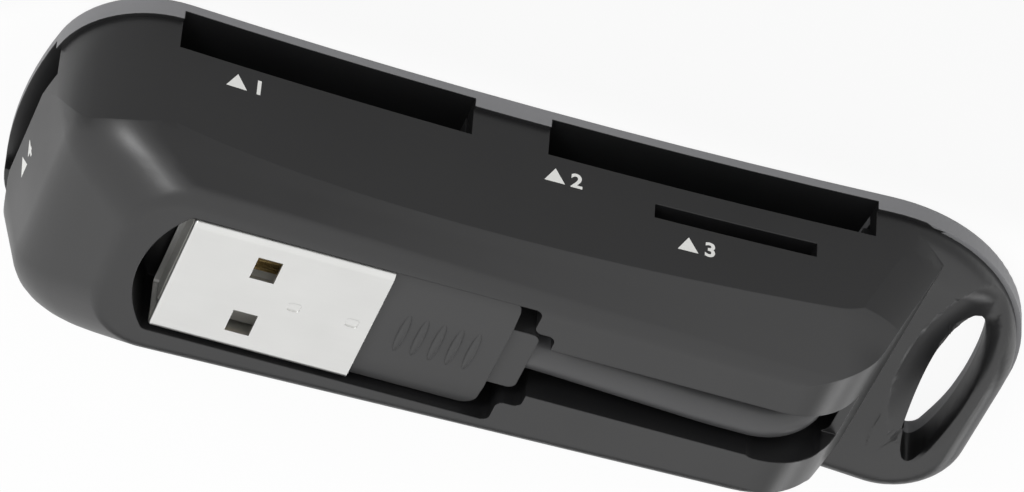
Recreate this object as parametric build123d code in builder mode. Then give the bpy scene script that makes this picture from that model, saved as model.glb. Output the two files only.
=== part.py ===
# Memory card reader for a USB port: a two-shell plastic body with a key-ring loop, card slots on one long
# side and one end, and a plug on a short lead that is stowed in a pocket in the front.
# Millimetres. x runs from the rounded end to the loop, y to the long side with the slots, z up from the back.
import os
from math import atan, cos, hypot, radians, sin, sqrt

from build123d import *

os.makedirs("parts", exist_ok=True)

# Plan of the body
body_length = 76.0
body_width = 27.0
body_height = 16.6
corner_radius = 7.7
end_bow = 0.6
loop_corner_radius = 6.2
loop_low_reach = 0.6
waist_depth = 0.95
waist_from_end = 33.35
shell_step = 0.35

# Shells
back_height = 1.75
back_floor = 1.0
back_edge_radius = 0.5
wall = 1.4
roof = 1.5

# Form of the front shell above the parting line
front_from_end = 7.3
front_half_end = 8.5
front_half_loop = 6.5
front_to_loop_end = 13.6
front_loop_slant = 2.6
shoulder_drop = 4.4
shoulder_soft = 1.8
shoulder_from_end = 2.3
foot_from_end = 0.15
shoulder_low_end = 9.7
shoulder_low_loop = 7.6
slot_side_slope_end = 0.22
slot_side_slope_loop = 0.67
slot_side_bow = 0.3
slot_side_margin = 0.15
end_slope = 0.45
roll_radius = 6.4
roll_from_loop_end = 19.5
front_corner_end = 5.0
front_corner_loop = 4.0
corner_slope = 0.93
low_corner_share = 0.6
low_corner_limit = 10.0
front_edge_radius = 1.6

# Key-ring loop
loop_height = 4.5
loop_edge_radius = 2.3
loop_hole_width = 3.4
loop_hole_length = 15.8
loop_hole_offset = -0.9
loop_rim = 3.1
loop_hole_bow_radius = 36.0
loop_hole_slot_corner = 0.45 * loop_hole_width
loop_hole_low_corner = 0.28 * loop_hole_width
loop_hole_rim_corner = 0.22 * loop_hole_width
loop_hole_neck = 6.1
loop_hole_round = 2.3
loop_hole_slot_end_round = 1.6
loop_hole_rim_round = 0.3
loop_hole_back_round = 1.1
round_steps = 6

# Card slots, measured from the rounded end along x as shares of the body's length, or across y in millimetres
stick_slot_start = 0.1092 * body_length
stick_slot_length = 0.2882 * body_length
stick_slot_height = 3.2
wide_slot_start = 0.473 * body_length
wide_slot_length = 0.3243 * body_length
wide_slot_height = 3.1
micro_slot_start = 0.5803 * body_length
micro_slot_length = 0.1599 * body_length
micro_slot_height = 1.3
end_slot_length = 13.6
end_slot_height = 3.1

# Plug, grip and lead
plug_offset = 3.3
plug_tip_from_end = 11.7
plug_length = 14.75
plug_width = 12.0
plug_thickness = 4.5
plug_sheet = 0.3
plug_corner = 0.6
plug_tip_round = 0.25
dimple_size = 0.9
dimple_depth = 0.1
dimple_from_tip = 9.1
dimple_spacing = 4.3
window_from_tip = 5.2
window_length = 1.8
window_width = 2.3
window_spacing = 6.0
tongue_thickness = 1.95
tongue_setback = 0.4
tongue_play = 0.1
core_length = 4.0
core_tail = 2.5
core_tail_width = 8.0
core_tail_height = 2.4
contact_width = 1.0
contact_thickness = 0.2
contact_spacing = 2.25
contact_setback = 0.8
grip_length = 9.55
grip_below_front = 0.35
grip_flat_width = 6.6
grip_flank_drop = 0.5
grip_corner = 1.2
relief_length = 2.15
relief_width = 6.0
relief_drop = 0.5
lead_diameter = 3.4
lead_play = 0.05
lead_in_grip = 4.0
lead_end_height = 1.8
lead_down_from_loop_end = 0.2151 * body_length
lead_bend_radius = 4.4
lead_drift = 0.8
lead_bow_run = 3.0
lead_ease_radius = 40.0

# Pocket and groove in the front
pocket_depth = 5.2
pocket_floor = 1.2
pocket_wall = 1.2
pocket_play = 0.35
pocket_end_bow = 2.1
pocket_end_play = 0.3
pocket_tail = 1.3
relief_play = 1.05
relief_pocket_length = 1.7
groove_width = 5.4
groove_depth = 4.2
pocket_corner = 0.6
lead_hole_play = 0.4

# Board and sockets
socket_height = 3.4
board_thickness = 1.0
board_play = 0.5
board_low_play = 1.8
board_from_end = 3.1
board_from_loop_end = 14.2
board_corner_end = 6.0
board_corner_loop = 4.0
socket_wall = 1.1
socket_back = 1.5
socket_corner = 1.0
socket_low_play = 0.3
throat_from_end = 4.2
lintel_height = 0.3
lintel_depth = 1.5
spring_thickness = 0.2
spring_length = 5.0
spring_bow = 1.0
spring_width = 0.8
spring_foot = 1.2
wide_spring_count = 9
stick_spring_count = 10
end_spring_count = 8
spring_pitch_wide = 2.5
spring_pitch_stick = (stick_slot_length - spring_length) / stick_spring_count
spring_pitch_end = 1.4
micro_base = 0.7
micro_wall = 0.8
micro_depth = 14.0
micro_sheet = 0.25
micro_spring_count = 8
spring_pitch_micro = 1.1
micro_spring_length = 2.6

# Posts and snap tabs that hold the board and the two shells
post_diameter = 3.0
post_from_end = 7.5
post_from_loop_end = 21.5
post_spread = 6.6
tab_thickness = 0.7
tab_height = 1.2
tab_length = 7.0
tab_play = 0.1
tab_from_end = 20.0
tab_spacing = 26.0

# Small parts on the board, placed from the rounded end along x and from the middle along y
chip_size = 7.0
chip_height = 1.4
chip_stand_off = 0.1
chip_from_end = 33.0
chip_offset = 2.0
chip_lead_count = 12
chip_lead_pitch = 0.5
chip_lead_width = 0.22
chip_lead_reach = 1.0
chip_lead_sheet = 0.15
chip_lead_rise = 0.65
crystal_length = 10.5
crystal_width = 4.4
crystal_height = 3.2
crystal_base = 0.8
crystal_flange = 0.4
crystal_from_end = 20.0
crystal_from_low_edge = 3.5
part_length = 1.6
part_width = 0.8
capacitor_height = 0.8
resistor_height = 0.45
part_pitch = 2.8
part_count = 5
part_row_from_end = 13.0
capacitor_offset = 6.5
resistor_offset = 2.5
wire_diameter = 0.7
wire_circle = 0.95

# Places worked out from those sizes
end_x = -body_length / 2
loop_end_x = body_length / 2
loop_radius = body_width / 2
loop_x = loop_end_x - loop_radius
waist_x = end_x + waist_from_end
waist_half = loop_radius - waist_depth
corner_x = end_x + corner_radius + end_bow
shoulder_z = body_height - shoulder_drop
board_z = back_floor + socket_height
board_top = board_z + board_thickness
plug_tip_x = end_x + plug_tip_from_end
plug_end_x = plug_tip_x + plug_length
grip_end_x = plug_end_x + grip_length
relief_end_x = grip_end_x + relief_length
pocket_z = body_height - pocket_depth
groove_z = body_height - groove_depth
plug_z = body_height - plug_thickness
grip_top = body_height - grip_below_front
lead_z = groove_z + lead_diameter / 2
lead_down_x = loop_end_x - lead_down_from_loop_end
loop_hole_x = loop_end_x - loop_rim - loop_hole_width
pocket_end_x = grip_end_x + pocket_tail
groove_start_x = pocket_end_x + relief_pocket_length
inner_inset = shell_step + wall
slot_face_y = waist_half - inner_inset
board_end_x = end_x + board_from_end
board_loop_x = loop_end_x - board_from_loop_end
board_slot_y = slot_face_y - board_play
board_low_y = -slot_face_y + board_low_play
socket_low_y = board_low_y + socket_low_play
stick_x = end_x + stick_slot_start
wide_x = end_x + wide_slot_start
micro_x = end_x + micro_slot_start
back_hollow_end_x = loop_hole_x - loop_hole_neck
core_middle_z = plug_z + plug_thickness / 2
tab_y = -slot_face_y + tab_play + tab_thickness / 2
tab_places = (
    (end_x + tab_from_end, tab_y),
    (end_x + tab_from_end + tab_spacing, tab_y),
)
post_places = (
    (end_x + post_from_end, post_spread),
    (end_x + post_from_end, -post_spread),
    (loop_end_x - post_from_loop_end, -post_spread),
)
past = 5.0
end_lean = atan(end_slope)
taper_heights = [back_height, loop_height]
taper_heights += [shoulder_z + shoulder_soft * step for step in (-1, -0.6, -0.2, 0.2, 0.6, 1)]
taper_heights += [body_height]


def unit(x, y):
    """Direction of a plan vector, at length 1."""
    return x / hypot(x, y), y / hypot(x, y)


def on_circle(centre_x, centre_y, radius, direction):
    """Point of a circle in a direction from its centre."""
    return centre_x + radius * direction[0], centre_y + radius * direction[1]


def side_arcs(side, round_x, round_y, round_radius, inset):
    """Points of one long side: its tangent points on the loop's round and on the corner, and the corner's arc."""
    rise = waist_half - round_y
    reach = round_x - waist_x
    waist_radius = (reach**2 + rise**2 - round_radius**2) / (2 * (round_radius - rise))
    waist_y = waist_half + waist_radius
    corner_y = waist_y - sqrt((corner_radius + waist_radius) ** 2 - (corner_x - waist_x) ** 2)
    end_radius = ((corner_radius + end_bow) ** 2 + corner_y**2 - corner_radius**2) / (2 * end_bow)
    to_round = unit(waist_x - round_x, waist_y - round_y)
    to_waist = unit(waist_x - corner_x, waist_y - corner_y)
    to_end = unit(corner_x - end_x - end_radius, corner_y)
    to_middle = unit(to_waist[0] + to_end[0], to_waist[1] + to_end[1])
    places = [on_circle(round_x, round_y, round_radius - inset, to_round)]
    places.append((waist_x, waist_half - inset))
    for direction in (to_waist, to_middle, to_end):
        places.append(on_circle(corner_x, corner_y, corner_radius - inset, direction))
    return [(x, side * y) for x, y in places]


def reader_outline(inset, height):
    """Plan of the body at a height: waisted long sides, a bowed end, and a loop rounder on the slot side."""
    low_x = loop_end_x - loop_corner_radius
    low_y = loop_radius + loop_low_reach - loop_corner_radius
    slot_side = side_arcs(1, loop_x, 0, loop_radius, inset)
    low_side = side_arcs(-1, low_x, low_y, loop_corner_radius, inset)
    loop_middle = on_circle(loop_x, 0, loop_radius - inset, (cos(radians(45)), sin(radians(45))))
    low_middle = on_circle(low_x, -low_y, loop_corner_radius - inset, (cos(radians(45)), -sin(radians(45))))
    with BuildSketch(Plane.XY.offset(height)) as outline:
        with BuildLine():
            ThreePointArc((loop_end_x - inset, 0), loop_middle, slot_side[0])
            ThreePointArc(*slot_side[0:3])
            ThreePointArc(*slot_side[2:5])
            ThreePointArc(slot_side[4], (end_x + inset, 0), low_side[4])
            ThreePointArc(*low_side[4:1:-1])
            ThreePointArc(*low_side[2::-1])
            ThreePointArc(low_side[0], low_middle, (loop_end_x - inset, -low_y))
            Line((loop_end_x - inset, -low_y), (loop_end_x - inset, 0))
        make_face()
    return outline.sketch


def below_shoulder(depth):
    """How far a depth under the front is below the shoulder, eased over the rounding of the shoulder."""
    if depth < shoulder_drop - shoulder_soft:
        return 0
    if depth > shoulder_drop + shoulder_soft:
        return depth - shoulder_drop
    return (depth - shoulder_drop + shoulder_soft) ** 2 / (4 * shoulder_soft)


def taper_section(height, inset, drop):
    """Level section of the tapered form, where drop lowers the form and inset draws its sides in."""
    depth = body_height - height
    low_ratio = (depth - below_shoulder(depth)) / shoulder_drop
    below = below_shoulder(depth) / (shoulder_z - back_height)
    left = end_x + front_from_end + (shoulder_from_end - front_from_end) * low_ratio
    left = left + (foot_from_end - shoulder_from_end) * below
    right = loop_end_x - front_to_loop_end + end_slope * min(depth, body_height - loop_height)
    up_end = plug_offset + front_half_end + slot_side_slope_end * depth
    up_loop = plug_offset + front_half_loop + slot_side_slope_loop * depth
    up_loop = min(up_loop, loop_radius - slot_side_margin)
    low_end = plug_offset - front_half_end
    low_end = low_end + (-shoulder_low_end - low_end) * low_ratio
    low_loop = plug_offset - front_half_loop
    low_loop = low_loop + (-shoulder_low_loop - low_loop) * low_ratio
    low_end = low_end + (-loop_radius + shoulder_low_end) * below
    low_loop = low_loop + (-loop_radius + shoulder_low_loop) * below
    end_corner = front_corner_end + (corner_radius - front_corner_end) * below
    up_corner = front_corner_loop + corner_slope * (depth - below_shoulder(depth))
    low_corner = min(low_corner_share * (up_loop - low_loop), low_corner_limit)
    with BuildSketch(Plane.XY.offset(height - drop)) as section:
        with BuildLine():
            Polyline(
                (left + inset, up_end - inset),
                (left + inset, low_end + inset),
                (right - inset, low_loop + inset),
                (right + front_loop_slant - inset, up_loop - inset),
            )
            ThreePointArc(
                (right + front_loop_slant - inset, up_loop - inset),
                ((left + right) / 2, (up_end + up_loop) / 2 - inset - slot_side_bow),
                (left + inset, up_end - inset),
            )
        make_face()
        fillet(vertices().group_by(Axis.X)[0], end_corner - inset)
        fillet(vertices().sort_by(Axis.X)[-1], up_corner - inset)
        fillet(vertices().sort_by(Axis.X)[-2:].sort_by(Axis.Y)[0], low_corner - inset)
    return section.sketch


def taper_form(inset, drop):
    """Solid whose sides slope in to the front: a bevel above the shoulder, a leaning wall under it."""
    with BuildPart() as form:
        loft([taper_section(height, inset, drop) for height in taper_heights], ruled=True)
        if drop == 0:
            fillet(faces().sort_by(Axis.Z)[-1].edges(), front_edge_radius)
    return form.part


def roll_form(inset, drop):
    """Side view that rolls the front over into the sloping end wall."""
    roll_x = loop_end_x - roll_from_loop_end
    centre_z = body_height - drop - roll_radius
    start = (roll_x, centre_z + roll_radius)
    stop = (roll_x + (roll_radius - inset) * cos(end_lean), centre_z + (roll_radius - inset) * sin(end_lean))
    middle_way = (radians(90) + end_lean) / 2
    middle = on_circle(roll_x, centre_z, roll_radius - inset / 2, (cos(middle_way), sin(middle_way)))
    low_corner = (stop[0] + (stop[1] + past) * end_slope, -past)
    with BuildPart() as form:
        with BuildSketch(Plane.XZ):
            with BuildLine():
                ThreePointArc(start, middle, stop)
                Polyline(stop, low_corner, (end_x - past, -past), (end_x - past, start[1]), start)
            make_face()
        extrude(amount=body_width, both=True)
    return form.part


def block(x, y, z):
    """Box between two x, two y and two z values."""
    with BuildPart() as form:
        with Locations(((x[0] + x[1]) / 2, (y[0] + y[1]) / 2, (z[0] + z[1]) / 2)):
            Box(x[1] - x[0], y[1] - y[0], z[1] - z[0])
    return form.part


def loop_hole_outline(height, beside, slot_end, rim):
    """Key-ring hole, straight beside the body and bowed outside, widened by an amount on each side."""
    start_x = loop_hole_x - beside
    rim_x = loop_hole_x + loop_hole_width + rim
    length = loop_hole_length + slot_end + rim
    with BuildSketch(Plane.XY.offset(height)) as outline:
        with Locations(((start_x + rim_x) / 2, loop_hole_offset + (slot_end - rim) / 2)):
            Rectangle(rim_x - start_x, length)
        with Locations((rim_x - loop_hole_bow_radius, 0)):
            Circle(loop_hole_bow_radius, mode=Mode.INTERSECT)
        fillet(vertices().sort_by(Axis.X)[-2:], loop_hole_rim_corner + rim / 2)
        fillet(vertices().group_by(Axis.X)[0].sort_by(Axis.Y)[0], loop_hole_low_corner + beside / 2)
        fillet(vertices().group_by(Axis.X)[0].sort_by(Axis.Y)[-1], loop_hole_slot_corner + beside / 2)
    return outline.sketch


def loop_hole_funnel(edge_z, way, beside, slot_end, rim):
    """Rounded edge of the hole as level sections; way is 1 for an upper edge and -1 for a lower one."""
    sections = []
    for step in range(round_steps + 1):
        turn = radians(90) * step / round_steps
        height = edge_z - way * beside * (1 - sin(turn))
        share = 1 - cos(turn)
        sections.append(loop_hole_outline(height, beside * share, slot_end * share, rim * share))
    with BuildPart() as funnel:
        loft(sections, ruled=True)
    return funnel.part


def pocket_outline(spread, height):
    """Pocket for the plug and its grip, with a bowed end and a narrower part for the strain relief."""
    half = plug_width / 2 + pocket_play + spread
    tip_x = plug_tip_x - pocket_end_play - spread
    relief_half = relief_width / 2 + relief_play + spread
    with BuildSketch(Plane.XY.offset(height)) as outline:
        with BuildLine():
            ThreePointArc(
                (tip_x, plug_offset - half),
                (tip_x - pocket_end_bow, plug_offset),
                (tip_x, plug_offset + half),
            )
            Polyline(
                (tip_x, plug_offset + half),
                (pocket_end_x + spread, plug_offset + half),
                (pocket_end_x + spread, plug_offset + relief_half),
                (groove_start_x + spread, plug_offset + relief_half),
                (groove_start_x + spread, plug_offset - relief_half),
                (pocket_end_x + spread, plug_offset - relief_half),
                (pocket_end_x + spread, plug_offset - half),
                (tip_x, plug_offset - half),
            )
        make_face()
        fillet(vertices(), pocket_corner)
    return outline.sketch


def groove_block(spread, z):
    """Straight run of the groove, from the pocket out through the end at the loop."""
    half = groove_width / 2 + spread
    return block((groove_start_x - past, loop_end_x), (plug_offset - half, plug_offset + half), z)


def lead_hole_outline(height):
    """Slot in the groove's floor through which the lead turns down into the body."""
    half = lead_diameter / 2 + lead_hole_play
    length = lead_bend_radius + lead_diameter / 2 + lead_hole_play
    with BuildSketch(Plane.XY.offset(height)) as outline:
        with Locations((lead_down_x + half - length / 2, plug_offset - lead_drift)):
            Rectangle(length, 2 * half)
        fillet(vertices(), half / 2)
    return outline.sketch


def post_outlines(height):
    """Posts inside the front shell that hold the board down."""
    with BuildSketch(Plane.XY.offset(height)) as outlines:
        with Locations(*post_places):
            Circle(post_diameter / 2)
    return outlines.sketch


def slot_cuts():
    """Mouths of the four card slots, cut through the walls of both shells."""
    reach = (slot_face_y - past, loop_radius + past)
    stick = (stick_x, stick_x + stick_slot_length)
    wide = (wide_x, wide_x + wide_slot_length)
    micro = (micro_x, micro_x + micro_slot_length)
    micro_z = board_top + micro_base
    end_reach = (end_x - past, end_x + inner_inset + past)
    return (
        block(stick, reach, (back_floor, back_floor + stick_slot_height)),
        block(wide, reach, (back_floor, back_floor + wide_slot_height)),
        block(micro, reach, (micro_z, micro_z + micro_slot_height)),
        block(end_reach, (-end_slot_length / 2, end_slot_length / 2), (back_floor, back_floor + end_slot_height)),
    )


def frame_block(start_x, length):
    """Outside of a card frame, from the slot's wall to the frame's back."""
    sides = (start_x - socket_wall, start_x + length + socket_wall)
    return block(sides, (socket_low_y, board_slot_y), (back_floor, board_z))


def frame_room(start_x, length):
    """Room for the card inside a frame."""
    return block((start_x, start_x + length), (socket_low_y + socket_back, board_slot_y + past), (0, body_height))


def throat_block(spread):
    """Passage from the slot in the rounded end to the frame beside it."""
    half = end_slot_length / 2 + spread
    start = end_x + throat_from_end - (0 if spread else past)
    return block((start, stick_x), (-half, half), (back_floor if spread else 0, board_z if spread else body_height))


def contact_spring(length, bow, way):
    """Bowed strip on a flat foot with its back end at the origin; way is -1 to hang and 1 to stand."""
    with BuildPart() as spring:
        with BuildSketch(Plane.YZ.offset(-spring_width / 2)):
            with BuildLine():
                sheet = way * spring_thickness
                crest = (length - spring_foot, way * bow)
                tip = (length, way * bow / 2)
                Polyline(
                    (0, 0),
                    (spring_foot, 0),
                    (crest[0], crest[1] - sheet),
                    (tip[0], tip[1] - sheet),
                    tip,
                    crest,
                    (spring_foot, sheet),
                    (0, sheet),
                    close=True,
                )
            make_face()
        extrude(amount=spring_width)
    return spring.part


def chip_lead():
    """Gull-wing lead that leaves the chip's side along x and stands on the board."""
    side = chip_size / 2
    bend = side + chip_lead_reach / 2
    tip = side + chip_lead_reach
    with BuildPart() as lead:
        with BuildSketch(Plane.XZ.offset(-chip_lead_width / 2)):
            with BuildLine():
                Polyline(
                    (side, chip_lead_rise),
                    (bend, chip_lead_rise),
                    (bend, chip_lead_sheet),
                    (tip, chip_lead_sheet),
                    (tip, 0),
                    (bend - chip_lead_sheet, 0),
                    (bend - chip_lead_sheet, chip_lead_rise - chip_lead_sheet),
                    (side, chip_lead_rise - chip_lead_sheet),
                    close=True,
                )
            make_face()
        extrude(amount=chip_lead_width)
    return lead.part


def part_row(offset, height):
    """Row of small parts soldered to the board."""
    middle_x = end_x + part_row_from_end + part_pitch * (part_count - 1) / 2
    with BuildPart() as row:
        with BuildSketch(Plane.XY.offset(board_top)):
            with Locations((middle_x, offset)):
                with GridLocations(part_pitch, 0, part_count, 1):
                    Rectangle(part_width, part_length)
        extrude(amount=height)
    return row.part


def core_tail_block():
    """Tail of the plug's core that the grip is moulded round."""
    return block(
        (plug_end_x, plug_end_x + core_tail),
        (plug_offset - core_tail_width / 2, plug_offset + core_tail_width / 2),
        (core_middle_z - core_tail_height / 2, core_middle_z + core_tail_height / 2),
    )


# Outer form of the front shell, without the loop
with BuildPart() as outer:
    extrude(reader_outline(shell_step, back_height), amount=body_height - back_height)
    add(taper_form(0, 0), mode=Mode.INTERSECT)
    add(roll_form(0, 0), mode=Mode.INTERSECT)

# Front half of the key-ring loop, with its rounded edge
with BuildPart() as loop_plate:
    extrude(reader_outline(shell_step, back_height), amount=loop_height - back_height)
    fillet(faces().sort_by(Axis.Z)[-1].edges(), loop_edge_radius)
    extrude(loop_hole_outline(0, 0, 0, 0), amount=body_height, mode=Mode.SUBTRACT)
    upper_round = (loop_hole_round, loop_hole_slot_end_round, loop_hole_rim_round)
    add(loop_hole_funnel(loop_height, 1, *upper_round), mode=Mode.SUBTRACT)
    add(block((lead_down_x, loop_end_x), (-loop_radius, loop_radius), (0, body_height)), mode=Mode.INTERSECT)

# Hollow of the front shell, which leaves the pocket's walls and the posts standing
with BuildPart() as hollow:
    extrude(reader_outline(inner_inset, back_height), amount=body_height - roof - back_height)
    add(taper_form(wall, roof), mode=Mode.INTERSECT)
    add(roll_form(wall, roof), mode=Mode.INTERSECT)
    extrude(pocket_outline(pocket_wall, pocket_z - pocket_floor), amount=body_height, mode=Mode.SUBTRACT)
    add(groove_block(pocket_wall, (groove_z - pocket_floor, body_height)), mode=Mode.SUBTRACT)
    extrude(post_outlines(board_top), amount=body_height, mode=Mode.SUBTRACT)

with BuildPart() as front_shell:
    add(outer.part)
    add(loop_plate.part)
    add(hollow.part, mode=Mode.SUBTRACT)
    extrude(pocket_outline(0, pocket_z), amount=body_height, mode=Mode.SUBTRACT)
    add(groove_block(0, (groove_z, 2 * body_height)), mode=Mode.SUBTRACT)
    extrude(lead_hole_outline(groove_z - pocket_floor - past), amount=body_height, mode=Mode.SUBTRACT)
    for cut in slot_cuts():
        add(cut, mode=Mode.SUBTRACT)
front_shell.part.label = "front_shell"
export_step(front_shell.part, "parts/front_shell.step")

# Hollow of the back cover, as far as the body goes
with BuildPart() as back_hollow:
    extrude(reader_outline(inner_inset, back_floor), amount=back_height)
    add(block((end_x, back_hollow_end_x), (-loop_radius, loop_radius), (0, body_height)), mode=Mode.INTERSECT)

with BuildPart() as back_cover:
    extrude(reader_outline(0, 0), amount=back_height)
    fillet(faces().sort_by(Axis.Z)[0].edges(), back_edge_radius)
    add(back_hollow.part, mode=Mode.SUBTRACT)
    with BuildSketch(Plane.XY.offset(back_floor)):
        with Locations(*tab_places):
            Rectangle(tab_length, tab_thickness)
    extrude(amount=back_height - back_floor + tab_height)
    extrude(loop_hole_outline(0, 0, 0, 0), amount=body_height, mode=Mode.SUBTRACT)
    add(loop_hole_funnel(0, -1, loop_hole_back_round, loop_hole_back_round, loop_hole_back_round), mode=Mode.SUBTRACT)
    for cut in slot_cuts():
        add(cut, mode=Mode.SUBTRACT)
back_cover.part.label = "back_cover"
export_step(back_cover.part, "parts/back_cover.step")

with BuildPart() as circuit_board:
    with BuildSketch(Plane.XY.offset(board_z)):
        with Locations(((board_end_x + board_loop_x) / 2, (board_low_y + board_slot_y) / 2)):
            Rectangle(board_loop_x - board_end_x, board_slot_y - board_low_y)
        fillet(vertices().group_by(Axis.X)[0], board_corner_end)
        fillet(vertices().group_by(Axis.X)[-1], board_corner_loop)
    extrude(amount=board_thickness)
circuit_board.part.label = "circuit_board"
export_step(circuit_board.part, "parts/circuit_board.step")

# Frame behind the wide slot, open to the slot, closed by the board and the back cover
with BuildPart() as wide_card_socket:
    add(frame_block(wide_x, wide_slot_length))
    fillet(edges().filter_by(Axis.Z).group_by(Axis.Y)[0], socket_corner)
    add(frame_room(wide_x, wide_slot_length), mode=Mode.SUBTRACT)
wide_card_socket.part.label = "wide_card_socket"
export_step(wide_card_socket.part, "parts/wide_card_socket.step")

# Frame behind the other long slot, with a throat to the slot in the rounded end
with BuildPart() as stick_card_socket:
    add(frame_block(stick_x, stick_slot_length))
    add(throat_block(socket_wall))
    add(frame_room(stick_x, stick_slot_length), mode=Mode.SUBTRACT)
    add(throat_block(0), mode=Mode.SUBTRACT)
    lintel_sides = (stick_x - socket_wall, stick_x + stick_slot_length + socket_wall)
    add(block(lintel_sides, (board_slot_y - lintel_depth, board_slot_y), (board_z - lintel_height, board_z)))
stick_card_socket.part.label = "stick_card_socket"
export_step(stick_card_socket.part, "parts/stick_card_socket.step")

# Contact springs under the board, one row for each kind of card
wide_row_x = wide_x + wide_slot_length / 2
stick_row_x = stick_x + (stick_slot_length - spring_length) / 2
spring_row_y = socket_low_y + socket_back
with BuildPart() as wide_card_contacts:
    with Locations((wide_row_x, spring_row_y, board_z)):
        with GridLocations(spring_pitch_wide, 0, wide_spring_count, 1):
            add(contact_spring(spring_length, spring_bow, -1))
wide_card_contacts.part.label = "wide_card_contacts"
export_step(wide_card_contacts.part, "parts/wide_card_contacts.step")

with BuildPart() as stick_card_contacts:
    with Locations((stick_row_x, spring_row_y, board_z)):
        with GridLocations(spring_pitch_stick, 0, stick_spring_count, 1):
            add(contact_spring(spring_length, spring_bow, -1))
stick_card_contacts.part.label = "stick_card_contacts"
export_step(stick_card_contacts.part, "parts/stick_card_contacts.step")

with BuildPart() as end_card_contacts:
    with Locations(Location((stick_x + stick_slot_length, 0, board_z), (0, 0, 90))):
        with GridLocations(spring_pitch_end, 0, end_spring_count, 1):
            add(contact_spring(spring_length, spring_bow, -1))
end_card_contacts.part.label = "end_card_contacts"
export_step(end_card_contacts.part, "parts/end_card_contacts.step")

# Small socket on the other face of the board, with a folded steel cover
micro_low_y = board_slot_y - micro_depth
micro_sides = (micro_x - micro_wall, micro_x + micro_slot_length + micro_wall)
micro_card_z = board_top + micro_base
micro_cover_z = micro_card_z + micro_slot_height
with BuildPart() as micro_card_socket:
    add(block(micro_sides, (micro_low_y, board_slot_y), (board_top, micro_cover_z)))
    add(
        block(
            (micro_x, micro_x + micro_slot_length),
            (micro_low_y + micro_wall, board_slot_y + past),
            (micro_card_z, micro_cover_z + past),
        ),
        mode=Mode.SUBTRACT,
    )
micro_card_socket.part.label = "micro_card_socket"
export_step(micro_card_socket.part, "parts/micro_card_socket.step")

with BuildPart() as micro_card_cover:
    cover_sides = (micro_sides[0] - micro_sheet, micro_sides[1] + micro_sheet)
    add(block(cover_sides, (micro_low_y, board_slot_y), (board_top, micro_cover_z + micro_sheet)))
    add(
        block(micro_sides, (micro_low_y - past, board_slot_y + past), (board_top - past, micro_cover_z)),
        mode=Mode.SUBTRACT,
    )
    fillet(edges().filter_by(Axis.Y).group_by(Axis.Z)[-1], micro_sheet)
micro_card_cover.part.label = "micro_card_cover"
export_step(micro_card_cover.part, "parts/micro_card_cover.step")

with BuildPart() as micro_card_contacts:
    with Locations((micro_x + micro_slot_length / 2, micro_low_y + micro_wall, micro_card_z)):
        with GridLocations(spring_pitch_micro, 0, micro_spring_count, 1):
            add(contact_spring(micro_spring_length, micro_slot_height / 2, 1))
micro_card_contacts.part.label = "micro_card_contacts"
export_step(micro_card_contacts.part, "parts/micro_card_contacts.step")

# Controller chip with leads on its four sides
chip_x = end_x + chip_from_end
with BuildPart() as controller_chip:
    with BuildSketch(Plane.XY.offset(board_top + chip_stand_off)):
        with Locations((chip_x, chip_offset)):
            Rectangle(chip_size, chip_size)
    extrude(amount=chip_height)
    chamfer(edges().filter_by(Axis.Z), chip_lead_rise / 2)
controller_chip.part.label = "controller_chip"
export_step(controller_chip.part, "parts/controller_chip.step")

with BuildPart() as chip_leads:
    for turn in (0, 90, 180, 270):
        with Locations(Location((chip_x, chip_offset, board_top), (0, 0, turn))):
            with GridLocations(0, chip_lead_pitch, 1, chip_lead_count):
                add(chip_lead())
chip_leads.part.label = "chip_leads"
export_step(chip_leads.part, "parts/chip_leads.step")

# Quartz crystal in a drawn can with a flange
crystal_place = (end_x + crystal_from_end, board_low_y + crystal_from_low_edge)
with BuildPart() as crystal:
    with BuildSketch(Plane.XY.offset(board_top)):
        with Locations(crystal_place):
            SlotOverall(crystal_length, crystal_width)
    extrude(amount=crystal_base)
    with BuildSketch(Plane.XY.offset(board_top + crystal_base)):
        with Locations(crystal_place):
            SlotOverall(crystal_length - 2 * crystal_flange, crystal_width - 2 * crystal_flange)
    extrude(amount=crystal_height - crystal_base)
    fillet(faces().sort_by(Axis.Z)[-1].edges(), crystal_flange)
crystal.part.label = "crystal"
export_step(crystal.part, "parts/crystal.step")

with BuildPart() as capacitors:
    add(part_row(capacitor_offset, capacitor_height))
capacitors.part.label = "capacitors"
export_step(capacitors.part, "parts/capacitors.step")

with BuildPart() as resistors:
    add(part_row(resistor_offset, resistor_height))
resistors.part.label = "resistors"
export_step(resistors.part, "parts/resistors.step")

# Plug: folded steel shell, moulded tongue with its core, and four contact strips
with BuildPart() as plug_shell:
    with BuildSketch(Plane.YZ.offset(plug_tip_x)):
        with Locations((plug_offset, plug_z + plug_thickness / 2)):
            RectangleRounded(plug_width, plug_thickness, plug_corner)
            RectangleRounded(
                plug_width - 2 * plug_sheet,
                plug_thickness - 2 * plug_sheet,
                plug_corner - plug_sheet,
                mode=Mode.SUBTRACT,
            )
    extrude(amount=plug_length)
    with BuildSketch(Plane.XY.offset(plug_z)):
        with Locations((plug_tip_x + window_from_tip + window_length / 2, plug_offset)):
            with GridLocations(0, window_spacing, 1, 2):
                Rectangle(window_length, window_width)
    extrude(amount=plug_thickness, mode=Mode.SUBTRACT)
    with BuildSketch(Plane.XY.offset(body_height - dimple_depth)):
        with Locations((plug_tip_x + dimple_from_tip + dimple_spacing / 2, plug_offset)):
            with GridLocations(dimple_spacing, 0, 2, 1):
                RectangleRounded(dimple_size, dimple_size, dimple_size / 4)
    extrude(amount=plug_thickness, mode=Mode.SUBTRACT)
    fillet(faces().sort_by(Axis.X)[0].outer_wire().edges(), plug_tip_round)
plug_shell.part.label = "plug_shell"
export_step(plug_shell.part, "parts/plug_shell.step")

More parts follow.
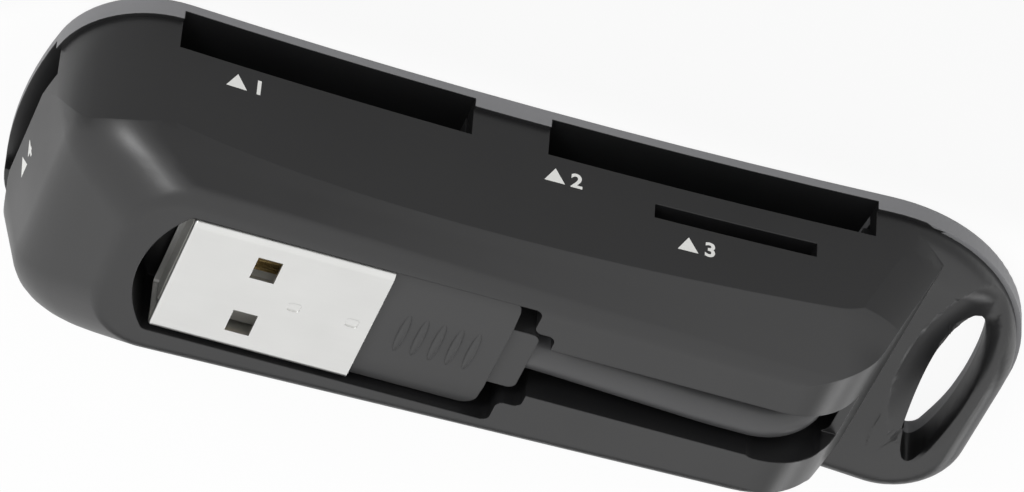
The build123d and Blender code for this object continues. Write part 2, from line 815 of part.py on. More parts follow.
inside_half = plug_width / 2 - plug_sheet - tongue_play
tongue_z = plug_z + plug_sheet
tongue_top = tongue_z + tongue_thickness
core_top = body_height - plug_sheet
with BuildPart() as plug_tongue:
    across = (plug_offset - inside_half, plug_offset + inside_half)
    add(block((plug_tip_x + tongue_setback, plug_end_x), across, (tongue_z, tongue_top)))
    add(block((plug_end_x - core_length, plug_end_x), across, (tongue_z, core_top)))
    fillet(edges().filter_by(Axis.X), plug_corner - plug_sheet)
    add(core_tail_block())
plug_tongue.part.label = "plug_tongue"
export_step(plug_tongue.part, "parts/plug_tongue.step")

with BuildPart() as plug_contacts:
    contact_x = (plug_tip_x + tongue_setback + contact_setback, plug_end_x - core_length)
    for step in (-1.5, -0.5, 0.5, 1.5):
        contact_y = plug_offset + step * contact_spacing
        sides = (contact_y - contact_width / 2, contact_y + contact_width / 2)
        add(block(contact_x, sides, (tongue_top, tongue_top + contact_thickness)))
plug_contacts.part.label = "plug_contacts"
export_step(plug_contacts.part, "parts/plug_contacts.step")

# Grip with sloping flanks, and the stepped strain relief behind it
with BuildPart() as plug_grip:
    half = plug_width / 2
    flat_half = grip_flat_width / 2
    with BuildSketch(Plane.YZ.offset(plug_end_x)):
        with BuildLine():
            Polyline(
                (plug_offset - half, pocket_z),
                (plug_offset + half, pocket_z),
                (plug_offset + half, grip_top - grip_flank_drop),
                (plug_offset + flat_half, grip_top),
                (plug_offset - flat_half, grip_top),
                (plug_offset - half, grip_top - grip_flank_drop),
                close=True,
            )
        make_face()
    extrude(amount=grip_length)
    fillet(edges().filter_by(Axis.Z).group_by(Axis.X)[-1], grip_corner)
    relief_sides = (plug_offset - relief_width / 2, plug_offset + relief_width / 2)
    add(block((grip_end_x - past, relief_end_x), relief_sides, (groove_z, grip_top - relief_drop)))
    fillet(edges().filter_by(Axis.Z).group_by(Axis.X)[-1], grip_corner / 2)
    add(core_tail_block(), mode=Mode.SUBTRACT)
    with BuildSketch(Plane.YZ.offset(relief_end_x - lead_in_grip)):
        with Locations((plug_offset, lead_z)):
            Circle(lead_diameter / 2 + lead_play)
    extrude(amount=lead_in_grip + past, mode=Mode.SUBTRACT)
plug_grip.part.label = "plug_grip"
export_step(plug_grip.part, "parts/plug_grip.step")

# Lead: along the groove, bowed a little to the low side, then down through the floor to the board
lead_stop_z = board_top + lead_end_height
lead_y = plug_offset - lead_drift
lead_points = (
    (relief_end_x - lead_in_grip, plug_offset, lead_z),
    (groove_start_x, plug_offset, lead_z),
    (lead_down_x - lead_bend_radius - lead_bow_run, lead_y, lead_z),
    (lead_down_x, lead_y, lead_z),
    (lead_down_x, lead_y, lead_stop_z),
)
with BuildPart() as lead_jacket:
    with BuildLine() as lead_route:
        FilletPolyline(*lead_points, radius=[lead_ease_radius, lead_ease_radius, lead_bend_radius])
    with BuildSketch(Plane.YZ.offset(relief_end_x - lead_in_grip)):
        with Locations((plug_offset, lead_z)):
            Circle(lead_diameter / 2)
    sweep(path=lead_route.wire())
lead_jacket.part.label = "lead_jacket"
export_step(lead_jacket.part, "parts/lead_jacket.step")
lead_length = lead_route.wire().length
print("lead length", lead_length, "volume", lead_jacket.part.volume)
print("section times length", lead_length * radians(180) * lead_diameter**2 / 4)

with BuildPart() as lead_wires:
    with BuildSketch(Plane.XY.offset(board_top)):
        with Locations((lead_down_x, lead_y)):
            with PolarLocations(wire_circle, 4, start_angle=45):
                Circle(wire_diameter / 2)
    extrude(amount=lead_end_height)
lead_wires.part.label = "lead_wires"
export_step(lead_wires.part, "parts/lead_wires.step")
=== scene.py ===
# Memory card reader: finishes, printed marks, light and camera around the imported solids.
# Metres, in the frame of the solids: x to the loop, y to the side with the slots, z up from the back.
import math

import bmesh
import bpy
import numpy as np
from mathutils import Matrix, Vector
from mathutils.bvhtree import BVHTree


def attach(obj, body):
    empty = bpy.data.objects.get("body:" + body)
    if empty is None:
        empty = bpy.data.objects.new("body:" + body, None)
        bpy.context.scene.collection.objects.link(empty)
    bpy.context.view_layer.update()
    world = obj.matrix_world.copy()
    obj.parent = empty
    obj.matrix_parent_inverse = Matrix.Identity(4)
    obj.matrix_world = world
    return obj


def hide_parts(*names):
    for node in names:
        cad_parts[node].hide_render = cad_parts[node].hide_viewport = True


MM = 0.001

# Edges that the shaders round, and the patterns that all plastics or all metals share
moulded_edge = 0.12 * MM
sheet_edge = 0.06 * MM
gloss_cloud = 9 * MM
plate_haze = 4 * MM
grain_strength = 0.3
line_strength = 0.06
line_depth = 0.01 * MM
pattern_range = (0.3, 0.7)

# Distances at which points are merged, cut, and set off a face
weld_distance = 0.0005 * MM
cut_distance = 0.001 * MM
ray_start = 0.02 * MM

# Loop: its box in plan, the grid it is cut by, its plate, and the round of its outer edge
loop_from = 27.5 * MM
loop_box = ((loop_from, 38 * MM), (-14 * MM, 14 * MM))
loop_cell = 0.5 * MM
loop_top = 4.5 * MM
loop_slack = 0.01 * MM
loop_waist = (1.2 * MM, 2.3 * MM)
loop_round_x = 24.5 * MM
loop_radius = 13.5 * MM
loop_edge = 2.3 * MM
upright_limit = 0.3

# Loop's hole, in plan: the oval it is drawn to and how far that reaches, and the solid's own hole and funnel
hole_centre = (33.4 * MM, -1.5 * MM)
hole_half = (1.6 * MM, 7.5 * MM)
hole_reach = 1.6 * MM
hole_box = ((31.3 * MM, -9.0 * MM), (35.1 * MM, 7.2 * MM))
funnel_right = 35.0 * MM
funnel_ends = (-9.6 * MM, 9.0 * MM)
funnel_reach = 2.3

# Scoop around the hole: a cone with an oval rim, which runs out on the right
scoop_centre = (33.4 * MM, 2.2 * MM)
scoop_half = (4.3 * MM, 9.9 * MM)
scoop_depth = 3.5 * MM
scoop_fade = (33.6 * MM, 36.0 * MM)

# Grip: the closed top of its strain relief, and five low oval ribs half sunk in its top
relief_low = (-2.0 * MM, 0.3 * MM, 15.7 * MM)
relief_high = (0.15 * MM, 6.3 * MM, 15.9 * MM)
relief_corner = 0.6 * MM
relief_steps = 6
rib_count = 5
rib_start = (-9.2 * MM, 3.3 * MM, 16.2 * MM)
rib_spacing = (1.3 * MM, 0.0, 0.0)
rib_half = (0.34 * MM, 2.1 * MM, 0.26 * MM)

# Printed marks: a triangle that points to each slot and a plain number beside it
# Each view gives the mark's right, its up and the way it is laid on the moulding
ink_lift = 0.012 * MM
figure_bold = 0.05 * MM
figure_height = 1.25 * MM
figure_shift = 1.95 * MM
figure_share = 0.69
triangle = ([(0, 0), (1.55 * MM, 0), (0.78 * MM, 1.3 * MM)], [(0, 1, 2)])
side_view = ((1, 0, 0), (0, 0, -1), (0, -1, 0))
end_view = ((0, 1, 0), (0, 0, -1), (1, 0, 0))
marks = (
    ("stick", "1", side_view, (-26.05 * MM, 20 * MM, 6.35 * MM)),
    ("wide", "2", side_view, (-2.2 * MM, 20 * MM, 6.55 * MM)),
    ("micro", "3", side_view, (7.95 * MM, 20 * MM, 9.8 * MM)),
    ("end", "4", end_view, (-45 * MM, -2.0 * MM, 6.6 * MM)),
)

# Camera at the photograph's place: a long lens close to parallel
camera_at = (-103.65 * MM, 365.47 * MM, 340.48 * MM)
camera_right = Vector((0.94492, 0.32174, -0.06016))
camera_up = Vector((-0.25723, 0.61629, -0.74432))
camera_back = Vector((-0.2024, 0.71879, 0.66511))
lens_pixels = 7000
picture_pixels = 1024
sensor_width = 36

# Table just below the part's back, with painted shade in grey along the part's front and left end, and how
# much of its white is seen straight and in reflections
table_half = 1.5
table_gap = 0.02 * MM
table_paper = "#e8e8e8"
# Painted shade: grey paper on the table along the part's front and left end, standing in for the part's
# shadow there
painted_shade_grey = "#a4a4a4"
painted_shade_start = 11 * MM
painted_shade_blur = 5 * MM
painted_shade_corner = (-34 * MM, -54 * MM)
painted_shade_turn = 14 * MM
seen_white = 0.92
mirrored_white = 0.1

# Studio: pale walls up to the ceiling, a dark flag to the right of the back wall, and two softboxes
wall_levels = (0.95, 1.05)
ceiling_from = 0.5
flag_side = (0.47, -0.883, 0.0)
flag_width = (0.74, 0.86)
flag_foot = (-0.05, 0.02)
flag_head = (0.48, 0.38)
flag_dark = 0.95
softbox_aim = (0, 0, 0.008)
softboxes = (
    ("softbox_left", (-0.47, 0.46, 0.27), 0.18, 1.2),
    ("softbox_right_back", (0.5, -0.53, 0.12), 0.15, 0.26),
)

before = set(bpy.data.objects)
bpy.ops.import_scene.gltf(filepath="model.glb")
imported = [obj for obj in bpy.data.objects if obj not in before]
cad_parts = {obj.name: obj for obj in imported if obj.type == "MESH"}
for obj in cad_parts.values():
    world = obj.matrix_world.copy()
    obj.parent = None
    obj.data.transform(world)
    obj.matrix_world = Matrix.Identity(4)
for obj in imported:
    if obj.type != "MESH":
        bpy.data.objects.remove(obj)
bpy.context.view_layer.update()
scene = bpy.context.scene


def linear(colour):
    """Linear colour of an sRGB hex value."""
    parts = [int(colour[i : i + 2], 16) / 255 for i in (1, 3, 5)]
    return [c / 12.92 if c <= 0.04045 else ((c + 0.055) / 1.055) ** 2.4 for c in parts] + [1.0]


def add_node(tree, kind, settings=None, inputs=None):
    """Adds one node, sets its properties, and fills or links its inputs."""
    made = tree.nodes.new(kind)
    for name, value in (settings or {}).items():
        setattr(made, name, value)
    for name, value in (inputs or {}).items():
        if isinstance(value, bpy.types.NodeSocket):
            tree.links.new(value, made.inputs[name])
        else:
            made.inputs[name].default_value = value
    return made


def new_material(name):
    """Empty material with its tree, its surface shader and its place on the piece."""
    material = bpy.data.materials.new(name)
    material.use_nodes = True
    tree = material.node_tree
    tree.nodes.clear()
    shader = add_node(tree, "ShaderNodeBsdfPrincipled")
    add_node(tree, "ShaderNodeOutputMaterial", None, {"Surface": shader.outputs["BSDF"]})
    place = add_node(tree, "ShaderNodeTexCoord").outputs["Object"]
    return material, tree, shader, place


def moulded_plastic(name, dark, light, smooth, rough, grain, depth, ior=1.53):
    """Injection-moulded plastic: a spark-eroded grain, and cloudy gloss from an unevenly polished mould."""
    material, tree, shader, place = new_material(name)
    cloud = add_node(
        tree, "ShaderNodeTexNoise", None, {"Vector": place, "Scale": 1 / gloss_cloud, "Detail": 3.0}
    )
    spots = add_node(tree, "ShaderNodeTexNoise", None, {"Vector": place, "Scale": 1 / grain, "Detail": 2.0})
    tint = add_node(
        tree,
        "ShaderNodeMix",
        {"data_type": "RGBA"},
        {"Factor": cloud.outputs["Fac"], 6: linear(dark), 7: linear(light)},
    )
    gloss = add_node(
        tree,
        "ShaderNodeMapRange",
        None,
        {
            "Value": cloud.outputs["Fac"],
            "From Min": pattern_range[0],
            "From Max": pattern_range[1],
            "To Min": smooth,
            "To Max": rough,
        },
    )
    edge = add_node(tree, "ShaderNodeBevel", {"samples": 4}, {"Radius": moulded_edge})
    bump = add_node(
        tree,
        "ShaderNodeBump",
        None,
        {
            "Strength": grain_strength,
            "Distance": depth,
            "Height": spots.outputs["Fac"],
            "Normal": edge.outputs["Normal"],
        },
    )
    tree.links.new(tint.outputs[2], shader.inputs["Base Color"])
    tree.links.new(gloss.outputs["Result"], shader.inputs["Roughness"])
    tree.links.new(bump.outputs["Normal"], shader.inputs["Normal"])
    shader.inputs["IOR"].default_value = ior
    return material


def rolled_metal(name, dark, light, smooth, rough, line, stretch):
    """Plated sheet: the fine lines of the rolling show through the plate along one direction."""
    material, tree, shader, place = new_material(name)
    along = add_node(tree, "ShaderNodeMapping", None, {"Vector": place, "Scale": stretch})
    lines = add_node(
        tree,
        "ShaderNodeTexNoise",
        None,
        {"Vector": along.outputs["Vector"], "Scale": 1 / line, "Detail": 3.0},
    )
    haze = add_node(
        tree, "ShaderNodeTexNoise", None, {"Vector": place, "Scale": 1 / plate_haze, "Detail": 2.0}
    )
    tint = add_node(
        tree,
        "ShaderNodeMix",
        {"data_type": "RGBA"},
        {"Factor": haze.outputs["Fac"], 6: linear(dark), 7: linear(light)},
    )
    gloss = add_node(
        tree,
        "ShaderNodeMapRange",
        None,
        {
            "Value": lines.outputs["Fac"],
            "From Min": pattern_range[0],
            "From Max": pattern_range[1],
            "To Min": smooth,
            "To Max": rough,
        },
    )
    edge = add_node(tree, "ShaderNodeBevel", {"samples": 4}, {"Radius": sheet_edge})
    bump = add_node(
        tree,
        "ShaderNodeBump",
        None,
        {
            "Strength": line_strength,
            "Distance": line_depth,
            "Height": lines.outputs["Fac"],
            "Normal": edge.outputs["Normal"],
        },
    )
    tree.links.new(tint.outputs[2], shader.inputs["Base Color"])
    tree.links.new(gloss.outputs["Result"], shader.inputs["Roughness"])
    tree.links.new(bump.outputs["Normal"], shader.inputs["Normal"])
    shader.inputs["Metallic"].default_value = 1.0
    return material


# Satin ABS of the two shells: the grain is drawn at 0.22 mm, coarser than the real one, so that it shows
# A lacquer of higher index on the front one gives its flat faces a greyer sheen
front_abs = moulded_plastic(
    "lacquered_black_abs", "#121213", "#161617", 0.34, 0.4, 0.22 * MM, 0.008 * MM, 1.64
)
cover_abs = moulded_plastic("satin_grey_abs", "#78787a", "#808082", 0.36, 0.44, 0.22 * MM, 0.008 * MM)

# Soft plastics of the grip and the lead: greyer and duller than the shells, with a soft light along the lead
grip_tpe = moulded_plastic("matte_black_tpe", "#313132", "#393939", 0.46, 0.54, 0.18 * MM, 0.015 * MM)
lead_pvc = moulded_plastic("satin_black_pvc", "#3c3c3d", "#444445", 0.36, 0.44, 0.3 * MM, 0.012 * MM)
wire_pvc = moulded_plastic("pale_pvc", "#c6c4bd", "#d2d0c9", 0.45, 0.55, 0.2 * MM, 0.01 * MM)

# Moulded and fired parts inside: dull black frames and chip, a white tongue, a glossy board, ceramic blocks
frame_lcp = moulded_plastic("black_lcp", "#101011", "#161617", 0.5, 0.6, 0.2 * MM, 0.01 * MM)
tongue_pbt = moulded_plastic("white_pbt", "#d6d5cf", "#e2e1dc", 0.4, 0.5, 0.25 * MM, 0.01 * MM)
chip_epoxy = moulded_plastic("black_epoxy", "#18181a", "#202023", 0.55, 0.65, 0.12 * MM, 0.01 * MM)
board_lacquer = moulded_plastic("green_solder_lacquer", "#0c3a22", "#12492c", 0.28, 0.38, 0.5 * MM, 0.01 * MM)
tan_ceramic = moulded_plastic("tan_ceramic", "#8a6b4c", "#997a58", 0.5, 0.6, 0.1 * MM, 0.01 * MM)
black_ceramic = moulded_plastic("black_glazed_ceramic", "#1c1c20", "#26262a", 0.3, 0.4, 0.1 * MM, 0.01 * MM)

# Pad-printed ink: a flat white without gloss
print_ink = moulded_plastic("white_pad_print", "#dededb", "#e8e8e5", 0.55, 0.65, 0.1 * MM, 0.004 * MM)

# Plated and plain sheet: the rolling lines are drawn at 0.15 to 0.3 mm, coarser than real, so that they show
plug_nickel = rolled_metal(
    "bright_nickel_plate", "#d9d9d7", "#e1e1df", 0.3, 0.36, 0.25 * MM, (0.06, 1.0, 1.0)
)
sheet_steel = rolled_metal("plain_sheet_steel", "#a9a9a8", "#bcbcbb", 0.3, 0.42, 0.3 * MM, (1.0, 0.06, 1.0))
tinned_metal = rolled_metal("tin_plate", "#c2c2c3", "#d2d2d2", 0.3, 0.4, 0.2 * MM, (1.0, 1.0, 1.0))
gold_plate = rolled_metal("gold_flash", "#b79d68", "#c9b07c", 0.22, 0.32, 0.15 * MM, (0.1, 1.0, 1.0))

# Solids that are shown as they are
finishes = {
    "circuit_board": board_lacquer,
    "wide_card_socket": frame_lcp,
    "wide_card_contacts": gold_plate,
    "stick_card_socket": frame_lcp,
    "stick_card_contacts": gold_plate,
    "end_card_contacts": gold_plate,
    "micro_card_socket": frame_lcp,
    "micro_card_cover": sheet_steel,
    "micro_card_contacts": gold_plate,
    "controller_chip": chip_epoxy,
    "chip_leads": tinned_metal,
    "crystal": sheet_steel,
    "capacitors": tan_ceramic,
    "resistors": black_ceramic,
    "lead_wires": wire_pvc,
    "plug_contacts": gold_plate,
}
for name, finish in finishes.items():
    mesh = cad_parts[name].data
    mesh.materials.clear()
    mesh.materials.append(finish)


def keep(piece, finish):
    """Gives a finished piece its material and its body."""
    piece.data.materials.clear()
    piece.data.materials.append(finish)
    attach(piece, "root")


def new_piece(name, mesh):
    """Object for a mesh whose place is in its points."""
    piece = bpy.data.objects.new(name, mesh)
    scene.collection.objects.link(piece)
    return piece


def settle(piece):
    """Makes what the piece's modifiers give its own mesh."""
    graph = bpy.context.evaluated_depsgraph_get()
    mesh = bpy.data.meshes.new_from_object(
        piece.evaluated_get(graph), preserve_all_data_layers=True, depsgraph=graph
    )
    piece.modifiers.clear()
    piece.data = mesh


def cut_finer(shape):
    """Cuts the loop's faces along a square grid, so that they can be bent."""
    for axis, (low, high) in enumerate(loop_box):
        for step in range(1, round((high - low) / loop_cell)):
            place = low + step * loop_cell
            crossed = []
            for face in shape.faces:
                spots = [corner.co[axis] for corner in face.verts]
                on_loop = max(corner.co.x for corner in face.verts) > loop_from
                if on_loop and min(spots) < place < max(spots):
                    crossed.append(face)
            corners = {corner for face in crossed for corner in face.verts}
            edges = {edge for face in crossed for edge in face.edges}
            point = Vector()
            point[axis] = place
            normal = Vector()
            normal[axis] = 1
            bmesh.ops.bisect_plane(
                shape, geom=[*crossed, *edges, *corners], dist=cut_distance, plane_co=point, plane_no=normal
            )
    bmesh.ops.triangulate(shape, faces=shape.faces)


def fade(value, ends):
    """Smooth step from 0 to 1 between two ends."""
    share = min(max((value - ends[0]) / (ends[1] - ends[0]), 0), 1)
    return share * share * (3 - 2 * share)


def in_oval(place, centre, half):
    """Place in an oval's own plane, where its outline is the unit circle."""
    return Vector(((place.x - centre[0]) / half[0], (place.y - centre[1]) / half[1]))


def hole_outline(shape):
    """Turns and lengths, in the oval's plane, of the points on the walls of the solid's own hole."""
    wall = []
    for point in shape.verts:
        upright = any(abs(face.normal.z) < upright_limit for face in point.link_faces)
        inside = all(low < value < high for low, value, high in zip(hole_box[0], point.co, hole_box[1]))
        if upright and inside and loop_waist[0] < point.co.z < loop_waist[1]:
            spot = in_oval(point.co, hole_centre, hole_half)
            wall.append((math.atan2(spot.y, spot.x), spot.length))
    return zip(*sorted(wall))


def plate_height(place):
    """Height of the loop's plate, which falls over its rounded outer edge on the side with the slots."""
    outward = math.hypot(place.x - loop_round_x, place.y) - (loop_radius - loop_edge)
    outward = min(max(outward, 0), loop_edge) if place.y > 0 else 0
    return loop_top - loop_edge + math.sqrt(loop_edge**2 - outward**2)


def shape_loop(shape, scooped):
    """Draws the hole's walls to an oval, and on the front lowers the plate around them to a scoop."""
    cut_finer(shape)
    turns, radii = hole_outline(shape)
    for point in shape.verts:
        if point.co.x < loop_from or point.co.z > loop_top + loop_slack:
            continue
        spot = in_oval(point.co, hole_centre, hole_half)
        reach = spot.length
        edge = np.interp(math.atan2(spot.y, spot.x), turns, radii, period=2 * math.pi)
        away = (1 - edge / reach) * math.hypot(point.co.x - hole_centre[0], point.co.y - hole_centre[1])
        pull = 1 - fade(away, (0, hole_reach))
        spot *= 1 + (1 - edge) * pull / reach
        point.co.x = hole_centre[0] + spot.x * hole_half[0]
        point.co.y = hole_centre[1] + spot.y * hole_half[1]
        if not scooped or point.co.z < loop_waist[1]:
            continue
        depth = scoop_depth * max(0, 1 - in_oval(point.co, scoop_centre, scoop_half).length)
        lowered = max(plate_height(point.co) - depth, loop_waist[1])
        beside = funnel_ends[0] < point.co.y < funnel_ends[1] and point.co.x < funnel_right
        if not (beside and reach < funnel_reach):
            lowered = min(point.co.z, lowered)
        point.co.z += (lowered - point.co.z) * (1 - fade(point.co.x, scoop_fade))


def smooth_copy(node, finish, name, sharp, reshape=None):
    """Merged copy of a solid's mesh, shaded smooth up to an angle, which stands for the solid."""
    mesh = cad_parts[node].data.copy()
    mesh.attributes.remove(mesh.attributes["custom_normal"])
    shape = bmesh.new()
    shape.from_mesh(mesh)
    bmesh.ops.remove_doubles(shape, verts=shape.verts, dist=weld_distance)
    if reshape:
        reshape(shape)
    shape.to_mesh(mesh)
    shape.free()
    mesh.shade_smooth()
    mesh.set_sharp_from_angle(angle=math.radians(sharp))
    piece = new_piece(name, mesh)
    weigh = piece.modifiers.new("face_weights", "WEIGHTED_NORMAL")
    weigh.keep_sharp = True
    weigh.weight = 100
    settle(piece)
    keep(piece, finish)
    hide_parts(node)
    return piece


front = smooth_copy("front_shell", front_abs, "front_moulding", 14, lambda shape: shape_loop(shape, True))
back = smooth_copy("back_cover", cover_abs, "back_moulding", 20, lambda shape: shape_loop(shape, False))
smooth_copy("plug_shell", plug_nickel, "plug_sheet", 30)
smooth_copy("plug_tongue", tongue_pbt, "plug_tongue_moulding", 30)
smooth_copy("plug_grip", grip_tpe, "grip_moulding", 30)
smooth_copy("lead_jacket", lead_pvc, "lead_moulding", 40)


def face_tree(piece):
    """Search tree of a piece's faces."""
    shape = bmesh.new()
    shape.from_mesh(piece.data)
    tree = BVHTree.FromBMesh(shape)
    shape.free()
    return tree


front_tree = face_tree(front)
back_tree = face_tree(back)

# Painted shade: the cover's faces that lie under the mouldings, which the slots show, take the shell's black
back.data.materials.append(front_abs)
for face in back.data.polygons:
    start = face.center + face.normal * ray_start
    in_painted_shade = any(tree.ray_cast(start, face.normal)[0] is not None for tree in (front_tree, back_tree))
    if in_painted_shade and face.center.x < loop_from:
        face.material_index = 1

# Top of the grip's strain relief, closed over the lead, with its two corners on the lead's side rounded
cap_shape = bmesh.new()
bmesh.ops.create_cube(cap_shape, size=1.0)
for point in cap_shape.verts:
    for axis in range(3):
        point.co[axis] = relief_high[axis] if point.co[axis] > 0 else relief_low[axis]
corners = []
for edge in cap_shape.edges:
    one, other = (point.co for point in edge.verts)
    if one.x > 0 and one.xy == other.xy:
        corners.append(edge)
bmesh.ops.bevel(
    cap_shape, geom=corners, offset=relief_corner, segments=relief_steps, affect="EDGES", profile=0.5
)
cap_mesh = bpy.data.meshes.new("relief_top")
cap_shape.to_mesh(cap_mesh)
cap_shape.free()
keep(new_piece("relief_top", cap_mesh), grip_tpe)


def rib_nodes():
    """Row of low oval ribs: instances of one stretched ball on a line of points."""
    tree = bpy.data.node_groups.new("grip_ribs", "GeometryNodeTree")
    sockets = {}
    for label, kind in (
        ("Count", "NodeSocketInt"),
        ("Start", "NodeSocketVector"),
        ("Spacing", "NodeSocketVector"),
        ("Half size", "NodeSocketVector"),
        ("Material", "NodeSocketMaterial"),
    ):
        sockets[label] = tree.interface.new_socket(label, in_out="INPUT", socket_type=kind).identifier
    tree.interface.new_socket("Geometry", in_out="OUTPUT", socket_type="NodeSocketGeometry")
    given = add_node(tree, "NodeGroupInput").outputs
    row = add_node(
        tree,
        "GeometryNodeMeshLine",
        None,
        {"Count": given["Count"], "Start Location": given["Start"], "Offset": given["Spacing"]},
    )
    ball = add_node(tree, "GeometryNodeMeshUVSphere", None, {"Segments": 32, "Rings": 16, "Radius": 1.0})
    rib = add_node(
        tree, "GeometryNodeTransform", None, {"Geometry": ball.outputs["Mesh"], "Scale": given["Half size"]}
    )
    soft = add_node(tree, "GeometryNodeSetShadeSmooth", None, {"Geometry": rib.outputs["Geometry"]})
    ribs = add_node(
        tree,
        "GeometryNodeInstanceOnPoints",
        None,
        {"Points": row.outputs["Mesh"], "Instance": soft.outputs["Geometry"]},
    )
    real = add_node(tree, "GeometryNodeRealizeInstances", None, {"Geometry": ribs.outputs["Instances"]})
    painted = add_node(
        tree,
        "GeometryNodeSetMaterial",
        None,
        {"Geometry": real.outputs["Geometry"], "Material": given["Material"]},
    )
    add_node(tree, "NodeGroupOutput", None, {"Geometry": painted.outputs["Geometry"]})
    return tree, sockets


rib_tree, rib_sockets = rib_nodes()
ribs = new_piece("grip_ribs", bpy.data.meshes.new("grip_ribs"))
maker = ribs.modifiers.new("ribs", "NODES")
maker.node_group = rib_tree
rib_values = {
    "Count": rib_count,
    "Start": rib_start,
    "Spacing": rib_spacing,
    "Half size": rib_half,
    "Material": grip_tpe,
}
for label, value in rib_values.items():
    maker[rib_sockets[label]] = value
settle(ribs)
keep(ribs, grip_tpe)


def printed(name, points, faces, right, up, at, toward):
    """Flat mark laid on the front moulding, from its own plane at a place, looking along a direction."""
    laid = []
    for x, y in points:
        start = Vector(at) + Vector(right) * x + Vector(up) * y
        hit, normal, index, distance = front_tree.ray_cast(start, Vector(toward))
        laid.append(hit + normal * ink_lift)
    mesh = bpy.data.meshes.new(name)
    mesh.from_pydata(laid, [], faces)
    mesh.update()
    keep(new_piece(name, mesh), print_ink)


def digit_outline(text):
    """Points and faces of a plain figure, with its foot at the origin."""
    curve = bpy.data.curves.new("figure", "FONT")
    curve.body = text
    curve.size = figure_height / figure_share
    curve.offset = figure_bold
    holder = bpy.data.objects.new("figure", curve)
    scene.collection.objects.link(holder)
    mesh = bpy.data.meshes.new_from_object(holder.evaluated_get(bpy.context.evaluated_depsgraph_get()))
    points = [(v.co.x, v.co.y) for v in mesh.vertices]
    faces = [tuple(p.vertices) for p in mesh.polygons]
    bpy.data.objects.remove(holder)
    bpy.data.curves.remove(curve)
    bpy.data.meshes.remove(mesh)
    return points, faces


for slot, figure, (right, up, toward), at in marks:
    printed("mark_" + slot, *triangle, right, up, at, toward)
    beside = Vector(at) + Vector(right) * figure_shift
    printed("figure_" + slot, *digit_outline(figure), right, up, beside, toward)

camera_data = bpy.data.cameras.new("camera")
camera = bpy.data.objects.new("camera", camera_data)
scene.collection.objects.link(camera)
turned = Matrix((camera_right, camera_up, camera_back)).transposed().to_4x4()
camera.matrix_world = Matrix.Translation(camera_at) @ turned
camera_data.sensor_fit = "HORIZONTAL"
camera_data.sensor_width = sensor_width
camera_data.lens = lens_pixels * sensor_width / picture_pixels
camera_data.clip_start = 0.01
camera_data.clip_end = 20
scene.camera = camera

# White table: the camera sees its white through the part's shadow, and reflections see mostly its lit paper,
# which carries painted shade along the part's front
floor_shape = bmesh.new()
table_top = Matrix.Translation((0, 0, -table_gap))
bmesh.ops.create_grid(floor_shape, x_segments=1, y_segments=1, size=table_half, matrix=table_top)
floor_mesh = bpy.data.meshes.new("table")
floor_shape.to_mesh(floor_mesh)
floor_shape.free()
table = new_piece("table", floor_mesh)
table_paint = bpy.data.materials.new("white_table")
table_paint.use_nodes = True
tree = table_paint.node_tree
tree.nodes.clear()
rays = add_node(tree, "ShaderNodeLightPath").outputs
straight = add_node(
    tree,
    "ShaderNodeMath",
    {"operation": "MAXIMUM"},
    {0: rays["Is Camera Ray"], 1: rays["Is Transmission Ray"]},
)
mirrored = add_node(
    tree, "ShaderNodeMath", {"operation": "MULTIPLY"}, {0: rays["Is Glossy Ray"], 1: mirrored_white}
)
share = add_node(
    tree,
    "ShaderNodeMath",
    {"operation": "MULTIPLY_ADD"},
    {0: straight.outputs[0], 1: seen_white, 2: mirrored.outputs[0]},
)
place = add_node(tree, "ShaderNodeTexCoord").outputs["Object"]
spot = add_node(tree, "ShaderNodeSeparateXYZ", None, {"Vector": place}).outputs
turn = add_node(
    tree,
    "ShaderNodeMapRange",
    None,
    {"Value": spot["X"], "From Min": painted_shade_corner[0], "From Max": painted_shade_corner[1], "To Max": painted_shade_turn},
)
ahead = add_node(tree, "ShaderNodeMath", {"operation": "ADD"}, {0: spot["Y"], 1: turn.outputs["Result"]})
# Painted shade: the table turns grey along the part's front and left end, for the part's shadow that
# reflections see
painted_shade_share = add_node(
    tree,
    "ShaderNodeMapRange",
    {"interpolation_type": "SMOOTHSTEP"},
    {"Value": ahead.outputs[0], "From Min": painted_shade_start, "From Max": painted_shade_start + painted_shade_blur},
)
paper_with_painted_shade = add_node(
    tree,
    "ShaderNodeMix",
    {"data_type": "RGBA"},
    {"Factor": painted_shade_share.outputs["Result"], 6: linear(table_paper), 7: linear(painted_shade_grey)},
)
matte = add_node(tree, "ShaderNodeBsdfDiffuse", None, {"Color": paper_with_painted_shade.outputs[2]})
white = add_node(tree, "ShaderNodeEmission", None, {"Color": linear("#ffffff"), "Strength": 1.0})
both = add_node(
    tree,
    "ShaderNodeMixShader",
    None,
    {0: share.outputs[0], 1: matte.outputs["BSDF"], 2: white.outputs["Emission"]},
)
add_node(tree, "ShaderNodeOutputMaterial", None, {"Surface": both.outputs["Shader"]})
table.data.materials.append(table_paint)

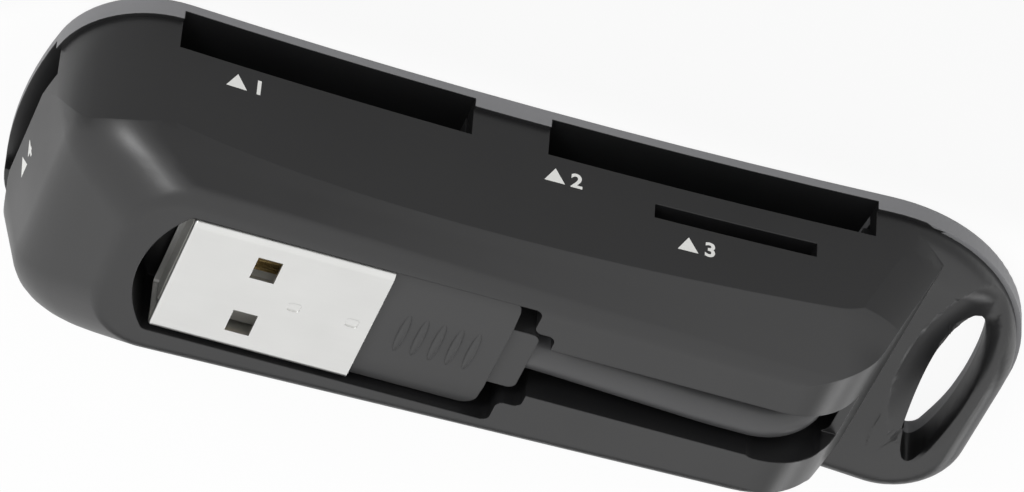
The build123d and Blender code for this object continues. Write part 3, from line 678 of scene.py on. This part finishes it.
# Studio around it: the camera sees it white, and the part is lit by its walls, ceiling and flag
world = bpy.data.worlds.new("studio")
scene.world = world
world.use_nodes = True
tree = world.node_tree
tree.nodes.clear()
direction = add_node(tree, "ShaderNodeTexCoord").outputs["Generated"]
height = add_node(tree, "ShaderNodeSeparateXYZ", None, {"Vector": direction}).outputs["Z"]
walls = add_node(
    tree,
    "ShaderNodeMapRange",
    {"interpolation_type": "SMOOTHSTEP"},
    {
        "Value": height,
        "From Min": 0.0,
        "From Max": ceiling_from,
        "To Min": wall_levels[0],
        "To Max": wall_levels[1],
    },
)
across = add_node(tree, "ShaderNodeVectorMath", {"operation": "DOT_PRODUCT"}, {0: direction, 1: flag_side})
dark = flag_dark
for value, (start, end) in (
    (across.outputs["Value"], flag_width),
    (height, flag_foot),
    (height, flag_head),
):
    inside = add_node(
        tree,
        "ShaderNodeMapRange",
        {"interpolation_type": "SMOOTHSTEP"},
        {"Value": value, "From Min": start, "From Max": end},
    )
    product = add_node(
        tree, "ShaderNodeMath", {"operation": "MULTIPLY"}, {0: inside.outputs["Result"], 1: dark}
    )
    dark = product.outputs[0]
flag = add_node(tree, "ShaderNodeMath", {"operation": "SUBTRACT"}, {0: 1.0, 1: dark})
level = add_node(
    tree, "ShaderNodeMath", {"operation": "MULTIPLY"}, {0: walls.outputs["Result"], 1: flag.outputs[0]}
)
lit = add_node(tree, "ShaderNodeBackground", None, {"Color": linear("#ffffff"), "Strength": level.outputs[0]})
white = add_node(tree, "ShaderNodeBackground", None, {"Color": linear("#ffffff"), "Strength": 1.0})
seen = add_node(tree, "ShaderNodeLightPath").outputs["Is Camera Ray"]
sky = add_node(
    tree, "ShaderNodeMixShader", None, {0: seen, 1: lit.outputs["Background"], 2: white.outputs["Background"]}
)
add_node(tree, "ShaderNodeOutputWorld", None, {"Surface": sky.outputs["Shader"]})

# Square softboxes that face the middle of the reader
for name, at, size, power in softboxes:
    lamp = bpy.data.lights.new(name, "AREA")
    lamp.shape = "SQUARE"
    lamp.size = size
    lamp.energy = power
    holder = bpy.data.objects.new(name, lamp)
    scene.collection.objects.link(holder)
    way = Vector(softbox_aim) - Vector(at)
    holder.rotation_euler = way.to_track_quat("-Z", "Y").to_euler()
    holder.location = at

scene.view_settings.view_transform = "Standard"
